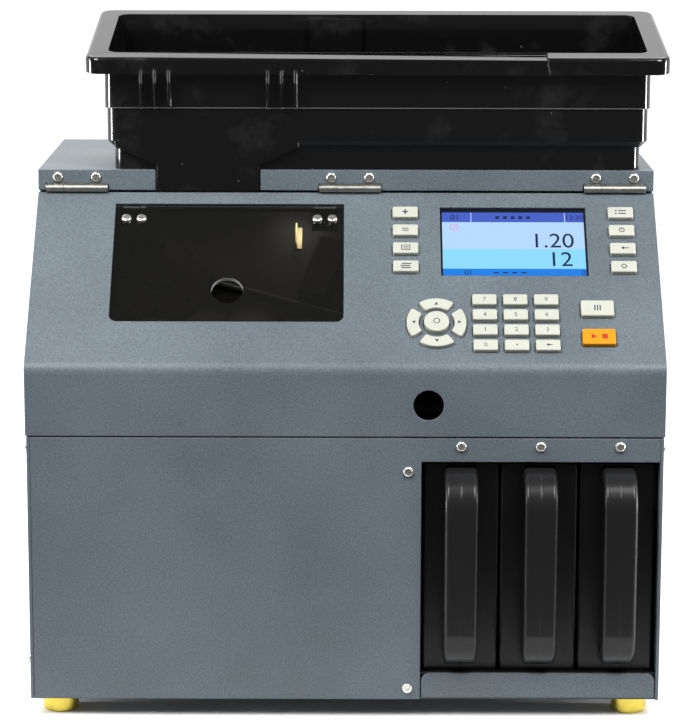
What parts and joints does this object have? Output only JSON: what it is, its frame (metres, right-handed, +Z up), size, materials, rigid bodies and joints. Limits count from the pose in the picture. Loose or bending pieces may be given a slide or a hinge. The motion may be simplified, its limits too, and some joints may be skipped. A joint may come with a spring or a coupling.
{
  "type": "coin sorting machine",
  "caption": "Bench-top coin sorting machine with a tray hopper, a hinged sloping control lid with display, keys and window, and pull-out coin boxes.",
  "frame": {"origin": "under the middle of the machine's overall box, on the surface it stands on", "axes": "+X to the user's right, +Y from the user to the back, +Z up"},
  "size_m": [0.4114, 0.2978, 0.435],
  "materials": {
    "painted_steel": "fine textured powder coat",
    "black_plastic": "glossy moulding",
    "zinc_steel": "bright zinc plate",
    "brass": "turned",
    "smoked_acrylic": "polished clear sheet with a smoke tint",
    "display_glass": "lit display behind glass",
    "circuit_board": "solder mask",
    "matte_black_plastic": "matt moulding",
    "motor_steel": "satin can",
    "aluminium": "satin",
    "orange_key": "satin moulding",
    "white_key": "satin moulding"
  },
  "bodies": {
    "cabinet": {"base_pan": "painted_steel", "left_side_panel": "painted_steel", "right_side_panel": "painted_steel", "front_panel": "painted_steel", "rear_panel": "painted_steel", "top_cover": "painted_steel", "hopper": "black_plastic", "feet": "brass", "case_screws": "zinc_steel", "hinge_fixed_leaves": "zinc_steel", "box_bay": "painted_steel", "sorting_deck": "matte_black_plastic", "drive_motor": "motor_steel", "gate_motors": "motor_steel", "coin_sensor": "matte_black_plastic", "sensor_bracket": "brass", "power_supply": "aluminium", "mains_inlet": "matte_black_plastic"},
    "lid": {"lid": "painted_steel", "hinge_lid_leaves": "zinc_steel", "display_module": "display_glass", "keypad_board": "circuit_board", "window_brackets": "zinc_steel"},
    "window": {"window": "smoked_acrylic", "window_leaves": "zinc_steel", "window_screws": "zinc_steel"},
    "coin_box_1": {"coin_box_1": "black_plastic"},
    "coin_box_2": {"coin_box_2": "black_plastic"},
    "coin_box_3": {"coin_box_3": "black_plastic"},
    "feed_disc": {"feed_disc": "matte_black_plastic"},
    "gate_flap_1": {"gate_flap_1": "aluminium"},
    "gate_flap_2": {"gate_flap_2": "aluminium"},
    "power_rocker": {"power_rocker": "matte_black_plastic"},
    "key_left_1": {"key_left_1": "white_key"},
    "key_right_1": {"key_right_1": "white_key"},
    "key_left_2": {"key_left_2": "white_key"},
    "key_right_2": {"key_right_2": "white_key"},
    "key_left_3": {"key_left_3": "white_key"},
    "key_right_3": {"key_right_3": "white_key"},
    "key_left_4": {"key_left_4": "white_key"},
    "key_right_4": {"key_right_4": "white_key"},
    "key_7": {"key_7": "white_key"},
    "key_8": {"key_8": "white_key"},
    "key_9": {"key_9": "white_key"},
    "key_4": {"key_4": "white_key"},
    "key_5": {"key_5": "white_key"},
    "key_6": {"key_6": "white_key"},
    "key_1": {"key_1": "white_key"},
    "key_2": {"key_2": "white_key"},
    "key_3": {"key_3": "white_key"},
    "key_0": {"key_0": "white_key"},
    "key_point": {"key_point": "white_key"},
    "key_back": {"key_back": "white_key"},
    "key_clear": {"key_clear": "white_key"},
    "key_start": {"key_start": "orange_key"},
    "arrow_right": {"arrow_right": "white_key"},
    "arrow_up": {"arrow_up": "white_key"},
    "arrow_left": {"arrow_left": "white_key"},
    "arrow_down": {"arrow_down": "white_key"},
    "key_centre": {"key_centre": "white_key"}
  },
  "joints": [
    {"name": "lid_hinge", "type": "hinge", "parent": "cabinet", "child": "lid", "pos_m": [-0.00345, -0.02882, 0.3276], "axis": [-1, 0, 0], "range_deg": [0, 70]},
    {"name": "window_hinge", "type": "hinge", "parent": "lid", "child": "window", "pos_m": [-0.07885, -0.03474, 0.31522], "axis": [-1, 0, 0], "range_deg": [0, 50]},
    {"name": "box_1_slide", "type": "slide", "parent": "cabinet", "child": "coin_box_1", "axis": [0, -1, 0], "range_m": [0, 0.262]},
    {"name": "box_2_slide", "type": "slide", "parent": "cabinet", "child": "coin_box_2", "axis": [0, -1, 0], "range_m": [0, 0.262]},
    {"name": "box_3_slide", "type": "slide", "parent": "cabinet", "child": "coin_box_3", "axis": [0, -1, 0], "range_m": [0, 0.262]},
    {"name": "disc_spin", "type": "hinge", "parent": "cabinet", "child": "feed_disc", "pos_m": [-0.12345, -0.04178, 0.26764], "axis": [0, -0.682, 0.7314], "continuous": true},
    {"name": "flap_1_tilt", "type": "hinge", "parent": "cabinet", "child": "gate_flap_1", "pos_m": [0.07767, -0.05955, 0.2419], "axis": [0.9483, -0.2321, -0.2164], "range_deg": [0, 30]},
    {"name": "flap_2_tilt", "type": "hinge", "parent": "cabinet", "child": "gate_flap_2", "pos_m": [0.12747, -0.07174, 0.23054], "axis": [0.9483, -0.2321, -0.2164], "range_deg": [0, 30]},
    {"name": "rocker_tilt", "type": "hinge", "parent": "cabinet", "child": "power_rocker", "pos_m": [-0.15345, 0.14311, 0.097], "axis": [1, 0, 0], "range_deg": [0, 16]},
    {"name": "key_left_1_press", "type": "slide", "parent": "lid", "child": "key_left_1", "axis": [0, 0.682, -0.7314], "range_m": [0, 0.0012], "stiffness_N_per_m": 300, "springref_m": -0.001},
    {"name": "key_right_1_press", "type": "slide", "parent": "lid", "child": "key_right_1", "axis": [0, 0.682, -0.7314], "range_m": [0, 0.0012], "stiffness_N_per_m": 300, "springref_m": -0.001},
    {"name": "key_left_2_press", "type": "slide", "parent": "lid", "child": "key_left_2", "axis": [0, 0.682, -0.7314], "range_m": [0, 0.0012], "stiffness_N_per_m": 300, "springref_m": -0.001},
    {"name": "key_right_2_press", "type": "slide", "parent": "lid", "child": "key_right_2", "axis": [0, 0.682, -0.7314], "range_m": [0, 0.0012], "stiffness_N_per_m": 300, "springref_m": -0.001},
    {"name": "key_left_3_press", "type": "slide", "parent": "lid", "child": "key_left_3", "axis": [0, 0.682, -0.7314], "range_m": [0, 0.0012], "stiffness_N_per_m": 300, "springref_m": -0.001},
    {"name": "key_right_3_press", "type": "slide", "parent": "lid", "child": "key_right_3", "axis": [0, 0.682, -0.7314], "range_m": [0, 0.0012], "stiffness_N_per_m": 300, "springref_m": -0.001},
    {"name": "key_left_4_press", "type": "slide", "parent": "lid", "child": "key_left_4", "axis": [0, 0.682, -0.7314], "range_m": [0, 0.0012], "stiffness_N_per_m": 300, "springref_m": -0.001},
    {"name": "key_right_4_press", "type": "slide", "parent": "lid", "child": "key_right_4", "axis": [0, 0.682, -0.7314], "range_m": [0, 0.0012], "stiffness_N_per_m": 300, "springref_m": -0.001},
    {"name": "key_7_press", "type": "slide", "parent": "lid", "child": "key_7", "axis": [0, 0.682, -0.7314], "range_m": [0, 0.0012], "stiffness_N_per_m": 300, "springref_m": -0.001},
    {"name": "key_8_press", "type": "slide", "parent": "lid", "child": "key_8", "axis": [0, 0.682, -0.7314], "range_m": [0, 0.0012], "stiffness_N_per_m": 300, "springref_m": -0.001},
    {"name": "key_9_press", "type": "slide", "parent": "lid", "child": "key_9", "axis": [0, 0.682, -0.7314], "range_m": [0, 0.0012], "stiffness_N_per_m": 300, "springref_m": -0.001},
    {"name": "key_4_press", "type": "slide", "parent": "lid", "child": "key_4", "axis": [0, 0.682, -0.7314], "range_m": [0, 0.0012], "stiffness_N_per_m": 300, "springref_m": -0.001},
    {"name": "key_5_press", "type": "slide", "parent": "lid", "child": "key_5", "axis": [0, 0.682, -0.7314], "range_m": [0, 0.0012], "stiffness_N_per_m": 300, "springref_m": -0.001},
    {"name": "key_6_press", "type": "slide", "parent": "lid", "child": "key_6", "axis": [0, 0.682, -0.7314], "range_m": [0, 0.0012], "stiffness_N_per_m": 300, "springref_m": -0.001},
    {"name": "key_1_press", "type": "slide", "parent": "lid", "child": "key_1", "axis": [0, 0.682, -0.7314], "range_m": [0, 0.0012], "stiffness_N_per_m": 300, "springref_m": -0.001},
    {"name": "key_2_press", "type": "slide", "parent": "lid", "child": "key_2", "axis": [0, 0.682, -0.7314], "range_m": [0, 0.0012], "stiffness_N_per_m": 300, "springref_m": -0.001},
    {"name": "key_3_press", "type": "slide", "parent": "lid", "child": "key_3", "axis": [0, 0.682, -0.7314], "range_m": [0, 0.0012], "stiffness_N_per_m": 300, "springref_m": -0.001},
    {"name": "key_0_press", "type": "slide", "parent": "lid", "child": "key_0", "axis": [0, 0.682, -0.7314], "range_m": [0, 0.0012], "stiffness_N_per_m": 300, "springref_m": -0.001},
    {"name": "key_point_press", "type": "slide", "parent": "lid", "child": "key_point", "axis": [0, 0.682, -0.7314], "range_m": [0, 0.0012], "stiffness_N_per_m": 300, "springref_m": -0.001},
    {"name": "key_back_press", "type": "slide", "parent": "lid", "child": "key_back", "axis": [0, 0.682, -0.7314], "range_m": [0, 0.0012], "stiffness_N_per_m": 300, "springref_m": -0.001},
    {"name": "key_clear_press", "type": "slide", "parent": "lid", "child": "key_clear", "axis": [0, 0.682, -0.7314], "range_m": [0, 0.0012], "stiffness_N_per_m": 300, "springref_m": -0.001},
    {"name": "key_start_press", "type": "slide", "parent": "lid", "child": "key_start", "axis": [0, 0.682, -0.7314], "range_m": [0, 0.0012], "stiffness_N_per_m": 300, "springref_m": -0.001},
    {"name": "arrow_right_press", "type": "slide", "parent": "lid", "child": "arrow_right", "axis": [0, 0.682, -0.7314], "range_m": [0, 0.0012], "stiffness_N_per_m": 300, "springref_m": -0.001},
    {"name": "arrow_up_press", "type": "slide", "parent": "lid", "child": "arrow_up", "axis": [0, 0.682, -0.7314], "range_m": [0, 0.0012], "stiffness_N_per_m": 300, "springref_m": -0.001},
    {"name": "arrow_left_press", "type": "slide", "parent": "lid", "child": "arrow_left", "axis": [0, 0.682, -0.7314], "range_m": [0, 0.0012], "stiffness_N_per_m": 300, "springref_m": -0.001},
    {"name": "arrow_down_press", "type": "slide", "parent": "lid", "child": "arrow_down", "axis": [0, 0.682, -0.7314], "range_m": [0, 0.0012], "stiffness_N_per_m": 300, "springref_m": -0.001},
    {"name": "key_centre_press", "type": "slide", "parent": "lid", "child": "key_centre", "axis": [0, 0.682, -0.7314], "range_m": [0, 0.0012], "stiffness_N_per_m": 300, "springref_m": -0.001}
  ]
}
